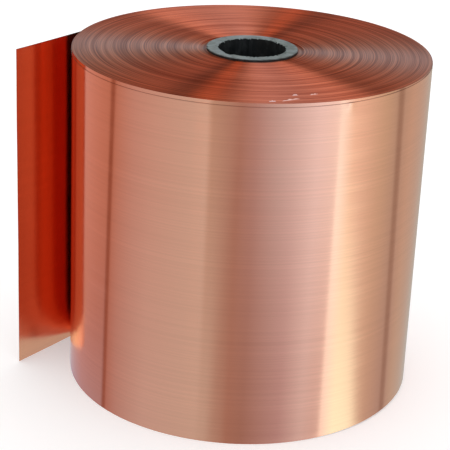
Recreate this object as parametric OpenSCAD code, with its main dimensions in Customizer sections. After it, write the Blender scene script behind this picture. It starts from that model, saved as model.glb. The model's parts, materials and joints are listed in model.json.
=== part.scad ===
// Wide roll of thin copper foil, wound on a plastic tube and stood on end.
// The origin is on the roll's axis at the floor that it stands on, with +Z up.
// The loose end of the foil leaves the roll at the back left. It is a chain of
// narrow upright panels, with a hinge line between each and the next.

/* [Core tube] */
// Bore of the tube, for a 3 inch shaft
core_bore_d = 76.2; // [70:0.1:80]
// Outer diameter of the tube
core_outer_d = 101.6; // [96:0.1:110]
// How far each end of the tube stands past the wound foil
core_proud = 2; // [0.5:0.5:4]

/* [Wound foil] */
// Outer diameter of the full roll
roll_d = 400; // [320:1:500]
// Width of the foil, measured along the roll's axis
foil_width = 382.5; // [250:0.5:500]
// How far the outer laps have slipped down the roll
outer_slip = 4; // [2:0.5:6]
// How far the first laps sit below the rest
first_slip = 1; // [0.5:0.5:2]
// Radial depth of the first laps, next to the tube
first_depth = 7; // [3:0.5:10]
// Radial depth of the outer laps that slipped
outer_depth = 1; // [0.8:0.1:2]

/* [Start tape] */
// Thickness of the tape that holds the foil's inner end to the tube
tape_t = 0.3; // [0.2:0.1:0.5]
// Width of the tape around the tube
tape_width = 40; // [25:1:60]
// Bare foil above and below the tape
tape_margin = 20; // [5:1:60]

/* [Loose end] */
// Thickness of the loose end
tail_t = 0.4; // [0.3:0.1:0.6]
// Direction in which the foil leaves the roll, from +X towards +Y
tail_angle = 154; // [100:0.5:180]
// Length of the straight flap that stays with the roll
flap_length = 25; // [24:0.5:30]
// Length of each hinged panel
panel_length = 19.7; // [15:0.1:24]
// Outward turn at the first hinge line
first_bend = 8; // [4:0.5:14]
// Outward turn at each later hinge line
later_bend = 0.3; // [0:0.1:2]
// Clear slot between two panels, at the hinge line
hinge_gap = 0.4; // [0.3:0.1:0.8]

/* [Hidden] */
$fn = 180;
panel_count = 6;
roll_r = roll_d / 2;
core_r = core_outer_d / 2;
bore_r = core_bore_d / 2;
first_r = core_r + first_depth;
main_r = roll_r - outer_depth;
core_length = outer_slip + foil_width + core_proud;
// The flap starts this far inside the roll, so that it meets the laps at a clear angle
flap_inset = 0.5;
flap_mid_r = roll_r - flap_inset;
// Extra reach that takes a cutter past the faces it cuts
past = 1;

copper = "#c9805c";
dark_copper = "#a8603f";
tail_copper = "#b5491f";
core_black = "#3a3d3b";
tape_tan = "#c8b88a";

// An upright ring
module ring(inner_r, outer_r, height) {
    difference() {
        cylinder(r = outer_r, h = height);
        translate([0, 0, -past])
            cylinder(r = inner_r, h = height + 2 * past);
    }
}

// Half of the tape's turn around the tube
tape_half_angle = tape_width / core_r * 90 / PI;

// The space that the tape fills, on the tube's wall at the +X side
module tape_space() {
    reach = core_r + 10;
    side = reach * tan(tape_half_angle);
    intersection() {
        translate([0, 0, outer_slip + tape_margin])
            ring(core_r, core_r + tape_t, foil_width - 2 * tape_margin);
        linear_extrude(height = core_length)
            polygon([[0, 0], [reach, -side], [reach, side]]);
    }
}

// A panel standing on edge. Its length lies along +X, and its hinge line is at the origin
module upright_sheet(start, length) {
    translate([start, -tail_t / 2, 0])
        cube([length, tail_t, foil_width]);
}

// Direction of each panel, and each hinge line's place, worked out along the chain
function panel_heading(k) = tail_angle + 90 - first_bend - (k - 1) * later_bend;
function hinge_point(k) = k == 1
    ? flap_mid_r * [cos(tail_angle), sin(tail_angle)]
      + flap_length * [-sin(tail_angle), cos(tail_angle)]
    : hinge_point(k - 1)
      + panel_length * [cos(panel_heading(k - 1)), sin(panel_heading(k - 1))];

module core_tube() {
    color(core_black)
        ring(bore_r, core_r, core_length);
}

module start_tape() {
    color(tape_tan)
        tape_space();
}

// The tape's bulge is let into the inner wall of the first laps
module first_laps() {
    color(dark_copper)
        difference() {
            translate([0, 0, outer_slip - first_slip])
                ring(core_r, first_r, foil_width);
            tape_space();
        }
}

module main_laps() {
    color(copper)
        translate([0, 0, outer_slip])
            ring(first_r, main_r, foil_width);
}

// The slipped laps, with the flap that leaves them along a tangent
module outer_laps() {
    color(copper)
        linear_extrude(height = foil_width)
            difference() {
                union() {
                    circle(r = roll_r);
                    rotate([0, 0, tail_angle])
                        translate([flap_mid_r - tail_t / 2, 0])
                            square([tail_t, flap_length - hinge_gap / 2]);
                }
                circle(r = main_r);
            }
}

module tail_panel(k) {
    end_gap = k == panel_count ? 0 : hinge_gap / 2;
    color(tail_copper)
        translate(concat(hinge_point(k), 0))
            rotate([0, 0, panel_heading(k)])
                upright_sheet(hinge_gap / 2, panel_length - hinge_gap / 2 - end_gap);
}

core_tube();
start_tape();
first_laps();
main_laps();
outer_laps();
for (k = [1:panel_count])
    tail_panel(k);
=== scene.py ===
import json
import math
import random

import bmesh
import bpy
from mathutils import Matrix, Vector, noise


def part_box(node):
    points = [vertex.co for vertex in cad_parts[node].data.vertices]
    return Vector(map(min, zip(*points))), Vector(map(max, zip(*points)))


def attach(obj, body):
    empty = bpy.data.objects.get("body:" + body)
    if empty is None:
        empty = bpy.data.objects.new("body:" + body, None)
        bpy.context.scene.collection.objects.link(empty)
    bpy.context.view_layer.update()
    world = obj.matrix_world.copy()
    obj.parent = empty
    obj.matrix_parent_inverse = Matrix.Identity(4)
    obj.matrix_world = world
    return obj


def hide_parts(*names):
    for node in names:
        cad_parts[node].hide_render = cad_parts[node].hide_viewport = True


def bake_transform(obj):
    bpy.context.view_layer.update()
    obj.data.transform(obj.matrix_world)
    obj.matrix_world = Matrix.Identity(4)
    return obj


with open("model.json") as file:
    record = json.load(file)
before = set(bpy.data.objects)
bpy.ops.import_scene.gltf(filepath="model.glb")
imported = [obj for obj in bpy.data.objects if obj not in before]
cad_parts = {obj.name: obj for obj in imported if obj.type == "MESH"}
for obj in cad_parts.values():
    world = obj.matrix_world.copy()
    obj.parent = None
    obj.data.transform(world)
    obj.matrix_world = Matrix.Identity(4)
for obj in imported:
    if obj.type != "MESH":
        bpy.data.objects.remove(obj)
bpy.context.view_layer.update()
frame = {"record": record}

MM = 0.001
TURN = 2 * math.pi

# Places and sizes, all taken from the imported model
CORE_HIGH = Vector(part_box("core_tube")[1])
FIRST_LOW, FIRST_HIGH = [Vector(c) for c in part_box("first_laps")]
MAIN_LOW, MAIN_HIGH = [Vector(c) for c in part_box("main_laps")]
OUTER_HIGH = Vector(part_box("outer_laps")[1])
RECORD = frame["record"]
BORE_R = next(m for m in RECORD["mounts"] if m["name"] == "core_bore")["dims"]["r_mm"] * MM
CORE_R = CORE_HIGH.x
CORE_TOP = CORE_HIGH.z
FIRST_R = FIRST_HIGH.x
ROLL_R = OUTER_HIGH.x
FOIL_WIDTH = OUTER_HIGH.z
MAIN_TOP = MAIN_HIGH.z
SLIP = MAIN_LOW.z
HINGES = [Vector(j["pos_m"][:2]) for j in RECORD["behaviour"]["joints"]]
PANEL = (HINGES[1] - HINGES[0]).length

# The flap starts just inside the roll, and leaves it at the angle LEAVE
FLAP_R = ROLL_R - 0.5 * MM
FLAP = math.sqrt(HINGES[0].length_squared - FLAP_R**2)
LEAVE = math.atan2(HINGES[0].y, HINGES[0].x) - math.atan2(FLAP, FLAP_R)

# The foil as it is seen: thinner than its solid, with the laps below it a little inside
FOIL_T = 0.15 * MM
UNDER_R = ROLL_R - 0.4 * MM

# The wound ends: one ring for this much radius, each ring's own offset, and its neighbours' drift
LAP_PITCH = 0.85 * MM
LAP_JITTER = 0.05 * MM
LAP_DRIFT = 0.05 * MM

# Copper on the foil's face, and on its edges
COPPER = (0.90, 0.385, 0.24)
LAP_EDGE = (0.82, 0.28, 0.15)

# Heights of the directions that the roll's side reflects, near its top and near its foot
SEEN_HIGH = -0.33
SEEN_LOW = -0.485

# Where the wedges of the sky meet: the northward part of a level end's own reflection
SKY_CENTRE = 0.96

# Pale panels round the roll, as they are seen near its top and near its foot. Each stop is a
# bearing in degrees, round from the front and to the right, and the colour there.
PANELS_ABOVE = (
    (-180, (0.6, 0.6, 0.65)), (-130, (0.7, 0.5, 0.5)), (-95, (0.55, 0.35, 0.3)),
    (-75, (0.6, 0.55, 0.6)), (-25, (0.7, 0.9, 1.0)), (-22, (0.55, 0.6, 0.6)),
    (-5, (0.45, 0.45, 0.5)), (5, (0.5, 0.55, 0.7)), (20, (0.65, 0.9, 1.2)),
    (45, (1.0, 1.45, 1.95)), (60, (1.1, 1.6, 2.0)), (70, (0.95, 1.1, 1.15)),
    (95, (0.65, 0.8, 0.75)), (110, (0.5, 0.6, 0.6)), (125, (0.6, 0.65, 0.6)),
    (180, (0.45, 0.45, 0.4)),
)
PANELS_BELOW = (
    (-180, (0.6, 0.7, 0.8)), (-130, (0.55, 0.35, 0.3)), (-100, (0.45, 0.3, 0.3)),
    (-90, (0.5, 0.5, 0.6)), (-65, (0.6, 0.75, 0.9)), (-20, (0.6, 0.8, 0.9)),
    (-5, (0.4, 0.35, 0.35)), (5, (0.35, 0.3, 0.3)), (30, (0.45, 0.45, 0.6)),
    (45, (0.65, 0.85, 1.1)), (57, (0.65, 0.75, 0.9)), (62, (0.9, 1.2, 1.4)),
    (88, (0.7, 0.85, 0.85)), (118, (0.45, 0.5, 0.55)), (130, (0.55, 0.65, 0.6)),
    (180, (0.5, 0.55, 0.55)),
)

# Dark gaps between panels: bearing above, bearing below, half width, strength and colour
PANEL_GAPS = (
    (-96, -101, 2.0, 0.9, (0.3, 0.14, 0.1)),
    (-4, -13, 2.0, 0.3, (0.3, 0.16, 0.1)),
    (112, 119, 3.0, 0.55, (0.26, 0.23, 0.2)),
)

# Wedges overhead, by bearing about the roll's axis from +X towards +Y. They repeat each half turn.
SKY_WEDGES = (
    (-180, (0.55, 0.85, 1.05)), (-165, (0.35, 0.35, 0.3)), (-150, (0.3, 0.2, 0.15)),
    (-120, (0.4, 0.2, 0.15)), (-115, (0.0, 0.0, 0.0)), (-107, (0.0, 0.0, 0.0)),
    (-106, (1.3, 0.5, 0.2)), (-102, (1.3, 0.5, 0.2)), (-101, (0.0, 0.0, 0.0)),
    (-97, (0.1, 0.05, 0.0)), (-92, (0.8, 0.7, 0.7)), (-84, (0.9, 0.95, 1.2)),
    (-72, (0.6, 0.6, 0.75)), (-50, (1.15, 0.9, 0.85)), (-48, (0.1, 0.05, 0.0)),
    (-40, (0.2, 0.05, 0.0)), (-35, (0.4, 0.2, 0.1)), (-16, (0.4, 0.35, 0.3)),
    (0, (0.55, 0.85, 1.05)),
)


def make_camera():
    """A long lens a little above the roll, turned a few degrees about its own axis."""
    distance = 1.774
    elevation, tip, turn, roll = [math.radians(a) for a in (21.48, -0.57, 0.69, -2.82)]
    eye = Vector((0, -math.cos(elevation), math.sin(elevation))) * distance
    eye.z += MAIN_TOP / 2
    ahead = Vector((0, math.cos(elevation), -math.sin(elevation)))
    right = Vector((1, 0, 0))
    level = Matrix((right, right.cross(ahead), ahead))
    nudge = Matrix.Rotation(roll, 3, "Z") @ Matrix.Rotation(turn, 3, "Y")
    rows = nudge @ Matrix.Rotation(tip, 3, "X") @ level
    data = bpy.data.cameras.new("camera")
    data.lens = 122.6
    data.sensor_width = 36
    data.clip_end = 60
    camera = bpy.data.objects.new("camera", data)
    basis = Matrix((rows[0], rows[1], -rows[2])).transposed()
    camera.matrix_world = Matrix.Translation(eye) @ basis.to_4x4()
    bpy.context.scene.collection.objects.link(camera)
    bpy.context.scene.camera = camera


# ---------------------------------------------------------------- nodes and materials


class Nodes:
    """Short calls for building one node tree."""

    def __init__(self, tree):
        self.tree = tree

    def add(self, kind, **settings):
        node = self.tree.nodes.new(kind)
        for key, value in settings.items():
            setattr(node, key, value)
        return node

    def put(self, source, target):
        """source is an output socket or a plain value."""
        if isinstance(source, bpy.types.NodeSocket):
            self.tree.links.new(source, target)
        else:
            target.default_value = source

    def math(self, operation, a, b=0.0):
        node = self.add("ShaderNodeMath", operation=operation)
        self.put(a, node.inputs[0])
        self.put(b, node.inputs[1])
        return node.outputs[0]

    def vector(self, operation, a, b=(0, 0, 0)):
        node = self.add("ShaderNodeVectorMath", operation=operation)
        self.put(a, node.inputs[0])
        self.put(b, node.inputs[1])
        return node.outputs["Value"] if operation == "LENGTH" else node.outputs[0]

    def combine(self, x, y, z):
        node = self.add("ShaderNodeCombineXYZ")
        for value, socket in zip((x, y, z), node.inputs):
            self.put(value, socket)
        return node.outputs[0]

    def separate(self, vector):
        node = self.add("ShaderNodeSeparateXYZ")
        self.put(vector, node.inputs[0])
        return node.outputs

    def place(self):
        """The point's place in the object's own frame."""
        return self.add("ShaderNodeTexCoord").outputs["Object"]

    def noise(self, where, scale, detail=3.0, roughness=0.55):
        node = self.add("ShaderNodeTexNoise")
        self.put(where, node.inputs["Vector"])
        self.put(scale, node.inputs["Scale"])
        self.put(detail, node.inputs["Detail"])
        self.put(roughness, node.inputs["Roughness"])
        return node.outputs["Fac"]

    def streaks(self, where, per_metre, detail=3.0, roughness=0.55):
        """Noise with its own scale along each axis."""
        return self.noise(self.vector("MULTIPLY", where, per_metre), 1.0, detail, roughness)

    def spread(self, value, low, high, out_low, out_high, clamp=True):
        node = self.add("ShaderNodeMapRange", clamp=clamp)
        for source, socket in zip((value, low, high, out_low, out_high), node.inputs):
            self.put(source, socket)
        return node.outputs[0]

    def ramp(self, value, stops):
        """stops run from position 0 to position 1."""
        node = self.add("ShaderNodeValToRGB")
        elements = node.color_ramp.elements
        elements[0].color = (*stops[0][1], 1)
        elements[1].color = (*stops[-1][1], 1)
        for position, color in stops[1:-1]:
            elements.new(position).color = (*color, 1)
        self.put(value, node.inputs[0])
        return node.outputs[0]

    def mix(self, share, a, b):
        node = self.add("ShaderNodeMix", data_type="RGBA")
        self.put(share, node.inputs["Factor"])
        for value, socket in ((a, node.inputs[6]), (b, node.inputs[7])):
            self.put((*value, 1) if isinstance(value, tuple) else value, socket)
        return node.outputs[2]

    def bump(self, height, distance, strength):
        node = self.add("ShaderNodeBump")
        self.put(height, node.inputs["Height"])
        self.put(distance, node.inputs["Distance"])
        self.put(strength, node.inputs["Strength"])
        return node.outputs[0]


def tinted(color, factors):
    return tuple(c * k for c, k in zip(color, factors))


def new_material(name, metallic, base):
    """base is the colour in the viewport, and the shader's own is set or linked later."""
    material = bpy.data.materials.new(name)
    material.use_nodes = True
    material.diffuse_color = (*base, 1)
    shader = material.node_tree.nodes["Principled BSDF"]
    shader.inputs["Metallic"].default_value = metallic
    return material, Nodes(material.node_tree), shader


def finish_surface(nodes, shader, color, roughness, normal):
    nodes.put(color, shader.inputs["Base Color"])
    nodes.put(roughness, shader.inputs["Roughness"])
    nodes.put(normal, shader.inputs["Normal"])


def smear_reflections(nodes, shader):
    """Reflections smear along the grain map's U direction, which runs across the rolling lines."""
    tangent = nodes.add("ShaderNodeTangent", direction_type="UV_MAP", uv_map="grain")
    nodes.put(tangent.outputs[0], shader.inputs["Tangent"])
    shader.inputs["Anisotropic"].default_value = 1.0


def copper_sheet():
    """Bright rolled foil: long faint rolling lines around the roll, a little tarnish, and
    a darker band along the top edge, partly the sheared edge and partly painted shade of the
    gap at the wrap's rim. The grain map's U runs up one side of the strip and down the other."""
    material, nodes, shader = new_material("copper_sheet", 1.0, COPPER)
    where = nodes.place()
    lines = nodes.streaks(where, (1.5, 1.5, 700.0), 2.0, 0.5)
    broad = nodes.streaks(where, (3.0, 3.0, 110.0), 2.0)
    cloud = nodes.noise(where, 9.0, 4.0)
    tone = nodes.math("ADD", lines, nodes.math("MULTIPLY", broad, 0.5))
    darker = tinted(COPPER, (0.96, 0.96, 0.96))
    lighter = tinted(COPPER, (1.03, 1.03, 1.03))
    tarnish = (0.87, 0.36, 0.22)
    color = nodes.mix(nodes.spread(tone, 0.55, 0.95, 0, 1), darker, lighter)
    color = nodes.mix(nodes.spread(cloud, 0.45, 0.7, 0, 0.3), color, tarnish)
    grain = nodes.separate(nodes.add("ShaderNodeUVMap", uv_map="grain").outputs[0])
    from_top = nodes.math("ABSOLUTE", nodes.math("SUBTRACT", grain[0], FOIL_WIDTH))
    # Painted shade: the dark band along the top edge stands partly for the sheared edge and partly for
    # the shadowed gap at the wrap's rim
    cut_edge_and_gap_shade = nodes.spread(from_top, 0.4 * MM, 0.8 * MM, 0.7, 0)
    color = nodes.mix(cut_edge_and_gap_shade, color, (0.4, 0.15, 0.09))
    roughness = nodes.spread(broad, 0.3, 0.7, 0.11, 0.14)
    finish_surface(nodes, shader, color, roughness, nodes.bump(lines, 0.015 * MM, 0.5))
    smear_reflections(nodes, shader)
    return material


def copper_edges(name, shade):
    """The wound edges of many laps: fine rings of varying tone, the darker ones partly painted
    shade in the gaps between laps, and sparse rings with painted shadow where a lap stands back.
    """
    material, nodes, shader = new_material(name, 1.0, LAP_EDGE)
    where = nodes.place()
    radius = nodes.vector("LENGTH", nodes.vector("MULTIPLY", where, (1, 1, 0)))
    around = nodes.vector("MULTIPLY", where, (5.0, 5.0, 0.0))

    def rings(per_metre, detail):
        """Noise that follows the radius closely and the direction only slowly."""
        across = nodes.combine(0.0, 0.0, nodes.math("MULTIPLY", radius, per_metre))
        return nodes.noise(nodes.vector("ADD", across, around), 1.0, detail)

    fine = rings(1300.0, 2.0)
    wide = rings(230.0, 2.0)
    sparse = rings(420.0, 1.0)
    # The darker end of this ring tone is partly painted shade in the gaps between laps, and partly
    # random tone
    tone = nodes.math("ADD", nodes.math("MULTIPLY", fine, 0.65), nodes.math("MULTIPLY", wide, 0.35))
    # A shade below 1 darkens the whole block as painted shade, as on the first wraps beside the tube
    base = tinted(LAP_EDGE, (shade, shade, shade))
    darker = tinted(base, (0.6, 0.46, 0.42))
    lighter = tinted(base, (1.08, 1.12, 1.15))
    color = nodes.mix(nodes.spread(tone, 0.4, 0.6, 0, 1), darker, lighter)
    # Painted shadow on sparse rings, where a lap stands back
    shadow = nodes.spread(sparse, 0.62, 0.7, 0, 0.6)
    color = nodes.mix(shadow, color, tinted(base, (0.45, 0.25, 0.2)))
    roughness = nodes.spread(wide, 0.35, 0.65, 0.5, 0.44)
    finish_surface(nodes, shader, color, roughness, nodes.bump(fine, 0.15 * MM, 0.5))
    smear_reflections(nodes, shader)
    return material


def core_black():
    """Black extruded tube with scuffs; its sawn ends are dusty grey-green with paler patches."""
    material, nodes, shader = new_material("core_black", 0.0, (0.03, 0.03, 0.03))
    where = nodes.place()
    facing = nodes.separate(nodes.add("ShaderNodeNewGeometry").outputs["Normal"])
    end = nodes.spread(nodes.math("ABSOLUTE", facing[2]), 0.5, 0.85, 0, 1)
    saw = nodes.streaks(where, (30.0, 900.0, 10.0))
    dust = nodes.noise(where, 120.0, 5.0, 0.65)
    rough = nodes.math("ADD", saw, dust)
    patches = nodes.noise(where, 25.0, 2.0)
    sawn = nodes.mix(nodes.spread(rough, 0.85, 1.15, 0, 1), (0.08, 0.11, 0.1), (0.22, 0.27, 0.27))
    sawn = nodes.mix(nodes.spread(patches, 0.45, 0.6, 0, 0.45), sawn, (0.28, 0.33, 0.36))
    scuffed = nodes.spread(dust, 0.5, 0.75, 0, 1)
    wall = nodes.mix(scuffed, (0.007, 0.01, 0.011), (0.03, 0.038, 0.038))
    roughness = nodes.spread(dust, 0.3, 0.7, 0.42, 0.62)
    normal = nodes.bump(rough, 0.15 * MM, 0.5)
    finish_surface(nodes, shader, nodes.mix(end, wall, sawn), roughness, normal)
    return material


def rubbed_edge_highlight():
    """Lap edges that have been rubbed and bent. Their colour, much paler than the copper, is
    partly rubbed bare metal and partly a painted highlight for the glints that they catch.
    """
    material, nodes, shader = new_material("rubbed_edge_highlight", 1.0, (0.96, 0.72, 0.62))
    scuff_and_glint = nodes.noise(nodes.place(), 700.0, 3.0)
    # The pale end of this mix is a painted highlight, the glints that these bent edges catch, laid over
    # rubbed bare copper
    color = nodes.mix(scuff_and_glint, (0.92, 0.55, 0.42), (0.98, 0.82, 0.74))
    roughness = nodes.spread(scuff_and_glint, 0.3, 0.7, 0.45, 0.3)
    finish_surface(nodes, shader, color, roughness, nodes.bump(scuff_and_glint, 0.1 * MM, 0.5))
    return material


def tape_tan():
    """Crepe paper tape."""
    material, nodes, shader = new_material("tape_tan", 0.0, (0.72, 0.6, 0.38))
    crepe = nodes.streaks(nodes.place(), (400.0, 400.0, 2500.0))
    color = nodes.mix(nodes.spread(crepe, 0.35, 0.65, 0, 1), (0.6, 0.48, 0.28), (0.76, 0.65, 0.43))
    roughness = nodes.spread(crepe, 0.3, 0.7, 0.7, 0.55)
    finish_surface(nodes, shader, color, roughness, nodes.bump(crepe, 0.05 * MM, 0.6))
    return material


# ---------------------------------------------------------------- mesh building


def smooth_step(share):
    share = min(max(share, 0.0), 1.0)
    return share * share * (3 - 2 * share)


def finish_piece(name, mesh, *materials):
    piece = bpy.data.objects.new(name, mesh)
    bpy.context.scene.collection.objects.link(piece)
    for material in materials:
        piece.data.materials.append(material)
    return piece


def grid_mesh(name, rows, grain, closed=False):
    """A closed solid through rows of points, where each row is a ring. closed joins the last row
    to the first, and otherwise both ends are capped. grain(i, j) gives a point's (u, v)."""
    work = bmesh.new()
    points = [[work.verts.new(p) for p in row] for row in rows]
    layer = work.loops.layers.uv.new("grain")
    count = len(rows[0])
    for i in range(len(rows) if closed else len(rows) - 1):
        for j in range(count):
            corners = ((i, j), (i, j + 1), (i + 1, j + 1), (i + 1, j))
            face = work.faces.new([points[a % len(rows)][b % count] for a, b in corners])
            face.smooth = True
            for loop, (a, b) in zip(face.loops, corners):
                loop[layer].uv = grain(a, b)
    bmesh.ops.holes_fill(work, edges=[e for e in work.edges if e.is_boundary])
    bmesh.ops.recalc_face_normals(work, faces=work.faces)
    sharpest_smooth = math.radians(30)
    for edge in work.edges:
        edge.smooth = edge.calc_face_angle(0.0) < sharpest_smooth
    mesh = bpy.data.meshes.new(name)
    work.to_mesh(mesh)
    work.free()
    return mesh


def revolve(name, profile, steps, materials, wobble):
    """A closed ring-shaped solid. profile is a closed list of (radius, height), and
    wobble(index, angle) returns a (radius, height) shift for that point."""
    rows = []
    lengths = [0.0]
    for (r1, z1), (r2, z2) in zip(profile, profile[1:] + profile[:1]):
        lengths.append(lengths[-1] + math.hypot(r2 - r1, z2 - z1))
    for index, (radius, height) in enumerate(profile):
        row = []
        for step in range(steps):
            angle = TURN * step / steps
            dr, dz = wobble(index, angle)
            r = radius + dr
            row.append((r * math.cos(angle), r * math.sin(angle), height + dz))
        rows.append(row)
    around = TURN * ROLL_R / steps
    mesh = grid_mesh(name, rows, lambda i, j: (lengths[i], j * around), closed=True)
    return finish_piece(name, mesh, *materials)


# ---------------------------------------------------------------- wound laps


def lap_heights(rng, count):
    """How far each lap edge stands back: fine jitter on a slow random walk."""
    persistence = 0.86
    walk = 0.0
    heights = []
    for _ in range(count):
        walk = persistence * walk + rng.uniform(-1, 1) * LAP_DRIFT
        heights.append(walk + rng.uniform(-1, 1) * LAP_JITTER)
    top = max(heights)
    return [h - top for h in heights]


def make_laps(name, node, radii, heights, seed, edges, wall):
    """A block of laps with ringed ends and a plain outer and inner wall. radii and heights are
    its inner and outer radius, and its bottom and top."""
    inner, outer = radii
    bottom, top = heights
    rng = random.Random(seed)
    count = max(4, round((outer - inner) / LAP_PITCH))
    upper = lap_heights(rng, count + 1)
    lower = lap_heights(rng, count + 1)
    steps = [inner + (outer - inner) * k / count for k in range(count + 1)]
    profile = [(r, top + h) for r, h in zip(steps, upper)]
    profile += [(r, bottom - h) for r, h in zip(reversed(steps), reversed(lower))]
    waves = [(rng.uniform(0, TURN), rng.choice((1, 2, 3)), rng.uniform(0, 1)) for _ in profile]

    def wobble(index, angle):
        """Each ring dips a little, once to three times around."""
        phase, lobes, size = waves[index]
        lift = LAP_JITTER * 0.5 * size * (math.sin(lobes * angle + phase) - 1)
        return 0, lift if index <= count else -lift

    piece = revolve(name, profile, 224, [edges, wall], wobble)
    for face in piece.data.polygons:
        face.material_index = int(abs(face.normal.z) < 0.5)
    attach(piece, "roll")
    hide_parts(node)


# ---------------------------------------------------------------- the strip: outer wrap and loose end


def strip(name, path, tops, material, shares_up, shape):
    """A thin upright sheet along path, a list of plan points. tops gives each one's top edge
    height, shares_up the levels of its points as shares of the foil's width, and
    shape(k, share) the outward shift of the point at that share."""
    rows = []
    for k, place in enumerate(path):
        ahead = (path[min(k + 1, len(path) - 1)] - path[max(k - 1, 0)]).normalized()
        out = Vector((ahead.y, -ahead.x))
        row = []
        for side, shares in ((0.5, shares_up), (-0.5, shares_up[::-1])):
            for share in shares:
                spot = place + out * (side * FOIL_T + shape(k, share))
                row.append((spot.x, spot.y, tops[k] - FOIL_WIDTH * (1 - share)))
        rows.append(row)
    ups = [share * FOIL_WIDTH for share in shares_up]
    ups += [2 * FOIL_WIDTH - up for up in reversed(ups)]
    alongs = [0.0]
    for here, there in zip(path, path[1:]):
        alongs.append(alongs[-1] + (there - here).length)

    def grain(i, j):
        return (ups[j] if j < len(ups) else ups[-1] + FOIL_T, alongs[i])

    piece = finish_piece(name, grid_mesh(name, rows, grain), material)
    return piece


def lap_slip(angle):
    """How far the last lap stands down at an angle: its full slip, but little at the right."""
    from_right = abs(math.degrees(math.remainder(angle, TURN)))
    return SLIP * (0.3 + 0.7 * smooth_step((from_right - 15) / 70))


def make_outer_wrap(material):
    """The last lap: a slow spiral that starts hidden under itself and ends where the strip leaves."""
    start = LEAVE - math.radians(40)
    inset_at_start = 1.3 * FOIL_T
    steps = 400
    path = []
    tops = []
    angles = []
    for step in range(steps + 1):
        share = step / steps
        angle = start + (TURN + LEAVE - start) * share
        radius = ROLL_R - FOIL_T / 2 - (1 - share) * inset_at_start
        path.append(Vector((radius * math.cos(angle), radius * math.sin(angle))))
        settle = min(1, (1 - share) * 12)
        tops.append(MAIN_TOP - SLIP + (SLIP - lap_slip(angle)) * settle)
        angles.append(angle)
    crease_angle = TURN - math.radians(59)
    crease_reach = 4 * MM
    crease_drop = 7 * MM

    def shape(k, share):
        """One small crease at the top edge, and a faint ripple along both edges."""
        edge = max(0.0, abs(2 * share - 1) - 0.9) / 0.1
        ripple = 0.05 * MM * edge * math.sin(angles[k] * 23) * math.sin(angles[k] * 7 + 1)
        down = (1 - share) * FOIL_WIDTH
        aside = (angles[k] - crease_angle) * ROLL_R
        crease = math.exp(-((aside / crease_reach) ** 2) - (down / crease_drop) ** 2)
        return ripple + 0.5 * MM * crease

    shares_up = [0, 0.02, 0.05] + [k / 10 for k in range(1, 10)] + [0.95, 0.97, 0.985, 0.995, 1]
    piece = strip("outer_wrap", path, tops, material, shares_up, shape)
    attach(piece, "roll")
    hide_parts("outer_laps")


def tail_points(step):
    """Plan points of the loose end every step, from where it leaves the roll, with soft bends at
    the hinge lines. Over the flap's length it closes in on the line of the solid panels."""
    legs = [b - a for a, b in zip(HINGES, HINGES[1:])]
    bearings = [math.atan2(leg.y, leg.x) for leg in legs]
    bearings.append(2 * bearings[-1] - bearings[-2])
    flap_bearing = LEAVE + math.pi / 2
    turns = [math.remainder(b - a, TURN) for a, b in zip([flap_bearing] + bearings, bearings)]
    reach = 0.45 * PANEL
    outward = Vector((math.cos(LEAVE), math.sin(LEAVE)))
    place = outward * FLAP_R
    count = round((FLAP + PANEL * len(HINGES)) / step)
    points = []
    for k in range(count + 1):
        shift = (ROLL_R - FOIL_T / 2 - FLAP_R) * (1 - smooth_step(k * step / FLAP))
        points.append(place + outward * shift)
        bearing = flap_bearing
        for hinge, turn in enumerate(turns):
            at = FLAP + hinge * PANEL
            bearing += turn * smooth_step(((k + 0.5) * step - at + reach) / (2 * reach))
        place = place + Vector((math.cos(bearing), math.sin(bearing))) * step
    return points


def make_tail(material):
    """The loose end as one smooth sheet, cut at the middle of each panel into a piece per hinge."""
    steps_per_panel = 20
    step = PANEL / steps_per_panel
    points = tail_points(step)
    flap_steps = round(FLAP / step)
    last = len(points) - 1
    cuts = [0]
    cuts += [flap_steps + steps_per_panel // 2 + steps_per_panel * k for k in range(len(HINGES) - 1)]
    cuts.append(last)
    shares_up = [k / 32 for k in range(33)]
    for k, (start, stop) in enumerate(zip(cuts, cuts[1:])):

        def shape(i, share, start=start):
            """The sheet's slight buckle, which grows towards its free end."""
            free = smooth_step((start + i) / last)
            wave = math.sin(share * 9.5 + 0.6) * 0.6 + math.sin(share * 23 + 2) * 0.25
            return 0.25 * MM * free * wave

        path = points[start : stop + 1]
        tops = [FOIL_WIDTH] * len(path)
        piece = strip(f"tail_sheet_{k + 1}", path, tops, material, shares_up, shape)
        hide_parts(f"tail_panel_{k + 1}")
        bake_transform(piece)


# ---------------------------------------------------------------- tube and small pieces


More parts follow.
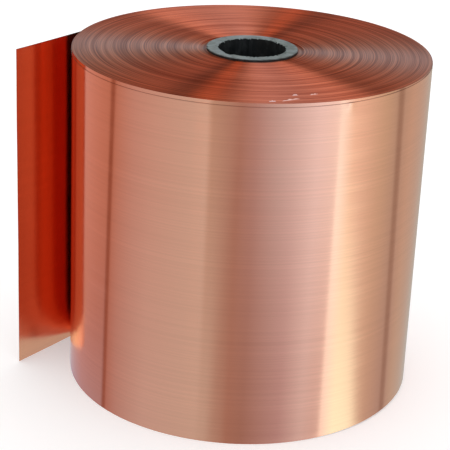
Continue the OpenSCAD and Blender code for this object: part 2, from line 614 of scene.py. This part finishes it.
def make_core(material):
    """The tube, with sawn ends: small chamfers, a torn and burred bore edge, and a nick."""
    chamfer = 0.6 * MM
    profile = [
        (CORE_R - chamfer, 0), (CORE_R, chamfer), (CORE_R, CORE_TOP * 0.25),
        (CORE_R, CORE_TOP * 0.75), (CORE_R, CORE_TOP - 3 * chamfer), (CORE_R, CORE_TOP - chamfer),
        (CORE_R - chamfer, CORE_TOP), (CORE_R - 5 * MM, CORE_TOP), (BORE_R + 4 * MM, CORE_TOP),
        (BORE_R + 1.2 * MM, CORE_TOP), (BORE_R, CORE_TOP - 0.5 * MM), (BORE_R, CORE_TOP - 3 * MM),
        (BORE_R, CORE_TOP * 0.75), (BORE_R, CORE_TOP * 0.25), (BORE_R, chamfer),
        (BORE_R + chamfer, 0),
    ]
    outer_edge = (5, 6)
    sawn_face = (7, 8)
    bore_edge = (9, 10)
    nick_angle = math.radians(186)
    torn_angle = math.radians(228)

    def wobble(index, angle):
        round_trip = Vector((math.cos(angle), math.sin(angle), index * 0.7))
        rough = noise.noise(round_trip * 9.0)
        fine = noise.noise(round_trip * 22.0)
        if index in bore_edge:
            torn = math.exp(-(((angle - torn_angle) / 0.12) ** 2)) * (0.8 + 0.4 * fine)
            shreds = max(0.0, fine) * (1 - min(torn, 1.0)) * 2.6 * MM
            burr = max(0.0, rough) * 1.1 * MM + shreds
            return 2.4 * MM * torn - burr, -1.9 * MM * torn - shreds
        if index in outer_edge:
            nick = math.exp(-(((angle - nick_angle) / 0.05) ** 2))
            return -0.9 * MM * nick + fine * 0.12 * MM, -0.8 * MM * nick
        if index in sawn_face:
            return 0, -abs(rough) * 0.15 * MM
        return 0, 0

    piece = revolve("core", profile, 288, [material], wobble)
    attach(piece, "roll")
    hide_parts("core_tube")


def make_bent_edges(material):
    """Short lengths of lap edge that have been knocked over, near the front of the rim."""
    rng = random.Random(5)
    base = MAIN_TOP - 0.13 * MM
    thick = 0.1 * MM
    steps = 24
    # Bearing in degrees, then in mm: inset from the rim, length, and how far it strays inward
    places = ((-83.2, 7, 7, 0.8), (-77.2, 11.8, 20, 6.4), (-74.7, 27, 6, 0.3), (-68.1, 26.5, 10, 1.4))
    for number, (degrees, inset, length, stray) in enumerate(places):
        height = rng.uniform(0.9, 1.3) * MM
        lean = -rng.uniform(0.8, 1.2) * height
        rows = []
        for step in range(steps + 1):
            share = step / steps
            radius = ROLL_R - (inset + stray * (share - 0.5)) * MM
            angle = math.radians(degrees) + (share - 0.5) * length * MM / radius
            rise = math.sin(math.pi * share) ** 0.5 * (0.75 + 0.25 * math.sin(17 * share + number))
            tip = lean * rise
            section = ((0, 0), (thick, 0), (thick + tip, height * rise), (tip, height * rise))
            row = []
            for dr, dz in section:
                row.append(((radius + dr) * math.cos(angle), (radius + dr) * math.sin(angle), base + dz))
            rows.append(row)
        along = length * MM / steps
        name = f"bent_edge_{number + 1}"
        piece = finish_piece(name, grid_mesh(name, rows, lambda i, j: (j * height, i * along)), material)
        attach(piece, "roll")


def dress_tape(material):
    tape = bpy.data.objects["start_tape"]
    tape.data.materials.clear()
    tape.data.materials.append(material)


# ---------------------------------------------------------------- surroundings


def slanted(nodes, height, above, below):
    """A bearing that changes evenly with height."""
    return nodes.spread(height, SEEN_HIGH, SEEN_LOW, above, below, clamp=False)


def by_height(nodes, height, below, above):
    return nodes.mix(nodes.spread(height, SEEN_LOW, SEEN_HIGH, 0, 1), below, above)


def add_patch(nodes, color, bearing, height):
    """A pale patch low on the left, beside the loose end's foot."""
    across = nodes.spread(bearing, -102, -98, 1, 0)
    low = nodes.spread(height, -0.467, -0.452, 1, 0)
    return nodes.mix(nodes.math("MULTIPLY", across, low), color, (0.45, 0.5, 0.7))


def add_window(nodes, color, bearing, height):
    """A bright window. Its left side is plumb and its right side leans outward."""
    left = nodes.spread(bearing, 58.5, 60, 0, 1)
    lean = nodes.math("SUBTRACT", bearing, slanted(nodes, height, 65, 88))
    window = nodes.math("MULTIPLY", left, nodes.spread(lean, -4, 2, 1, 0))
    inner = by_height(nodes, height, (1.15, 1.6, 1.9), (1.25, 2.1, 2.5))
    outer = by_height(nodes, height, (1.3, 2.3, 2.3), (1.1, 1.4, 1.4))
    return nodes.mix(window, color, nodes.mix(nodes.spread(bearing, 62, 70, 0, 1), inner, outer))


def side_light(nodes, direction, height):
    """What the roll's side reflects: pale panels of card, the dark gaps between them, and one
    bright window."""
    turn = nodes.add("ShaderNodeMapping")
    turn.inputs["Rotation"].default_value = (0, 0, TURN / 4)
    nodes.put(direction, turn.inputs["Vector"])
    around = nodes.add("ShaderNodeTexGradient", gradient_type="RADIAL")
    nodes.put(turn.outputs[0], around.inputs[0])
    bearing = nodes.spread(around.outputs["Fac"], 0, 1, -180, 180)

    def panels(stops):
        return nodes.ramp(around.outputs["Fac"], [((a + 180) / 360, c) for a, c in stops])

    color = by_height(nodes, height, panels(PANELS_BELOW), panels(PANELS_ABOVE))
    color = add_patch(nodes, color, bearing, height)
    color = add_window(nodes, color, bearing, height)
    for above, below, half, strength, shade in PANEL_GAPS:
        offset = nodes.math("SUBTRACT", bearing, slanted(nodes, height, above, below))
        away = nodes.math("ABSOLUTE", offset)
        color = nodes.mix(nodes.spread(away, half * 0.5, half * 1.5, strength, 0), color, shade)
    return color


def sky_light(nodes, direction):
    """What the wound ends reflect: wedges of light and dark overhead. A point on the roll's top
    face sees one wedge, by its own bearing about the roll's axis, so they meet at one point."""
    toward = nodes.vector("SUBTRACT", direction, (0, SKY_CENTRE, 0))
    around = nodes.add("ShaderNodeTexGradient", gradient_type="RADIAL")
    nodes.put(toward, around.inputs[0])
    half_turn = nodes.math("FRACT", nodes.math("MULTIPLY", around.outputs["Fac"], 2.0))
    return nodes.ramp(half_turn, [((a + 180) / 180, c) for a, c in SKY_WEDGES])


def environment():
    """Studio surroundings that only the reflections see. All else sees plain pale grey."""
    world = bpy.data.worlds.new("studio")
    bpy.context.scene.world = world
    world.use_nodes = True
    nodes = Nodes(world.node_tree)
    direction = nodes.add("ShaderNodeTexCoord").outputs["Generated"]
    height = nodes.separate(direction)[2]
    side = side_light(nodes, direction, height)
    sky = sky_light(nodes, direction)
    color = nodes.mix(nodes.spread(height, -0.12, 0.02, 0, 1), side, sky)
    reflected = nodes.add("ShaderNodeLightPath").outputs["Is Glossy Ray"]
    back = world.node_tree.nodes["Background"]
    nodes.put(nodes.mix(reflected, (0.93, 0.93, 0.93), color), back.inputs["Color"])


def floor():
    """A plain pale floor that glows a little, and that reflections don't see."""
    reach = 12.0
    corners = [(-reach, -reach, 0), (reach, -reach, 0), (reach, reach, 0), (-reach, reach, 0)]
    mesh = bpy.data.meshes.new("floor")
    mesh.from_pydata(corners, [], [(0, 1, 2, 3)])
    pale = (0.85, 0.85, 0.85)
    material, _, shader = new_material("floor", 0.0, pale)
    shader.inputs["Base Color"].default_value = (*pale, 1)
    shader.inputs["Roughness"].default_value = 0.9
    shader.inputs["Emission Color"].default_value = (1, 1, 1, 1)
    shader.inputs["Emission Strength"].default_value = 0.35
    obj = finish_piece("floor", mesh, material)
    obj.visible_glossy = False


# ---------------------------------------------------------------- the whole scene


bpy.context.scene.view_settings.view_transform = "Standard"
make_camera()
environment()
floor()
SHEET = copper_sheet()
# Piece, the node that it stands for, its two radii, its two heights, seed and painted shade: the first
# wraps are darkened as shade beside the tube
LAP_BLOCKS = (
    ("wound_laps", "main_laps", (FIRST_R, UNDER_R), (MAIN_LOW.z, MAIN_TOP), 11, 1.0),
    ("first_wraps", "first_laps", (CORE_R, FIRST_R), (FIRST_LOW.z, FIRST_HIGH.z), 12, 0.75),
)
for name, node, radii, heights, seed, shade in LAP_BLOCKS:
    make_laps(name, node, radii, heights, seed, copper_edges(f"{name}_edges", shade), SHEET)
make_outer_wrap(SHEET)
make_tail(SHEET)
make_core(core_black())
make_bent_edges(rubbed_edge_highlight())
dress_tape(tape_tan())
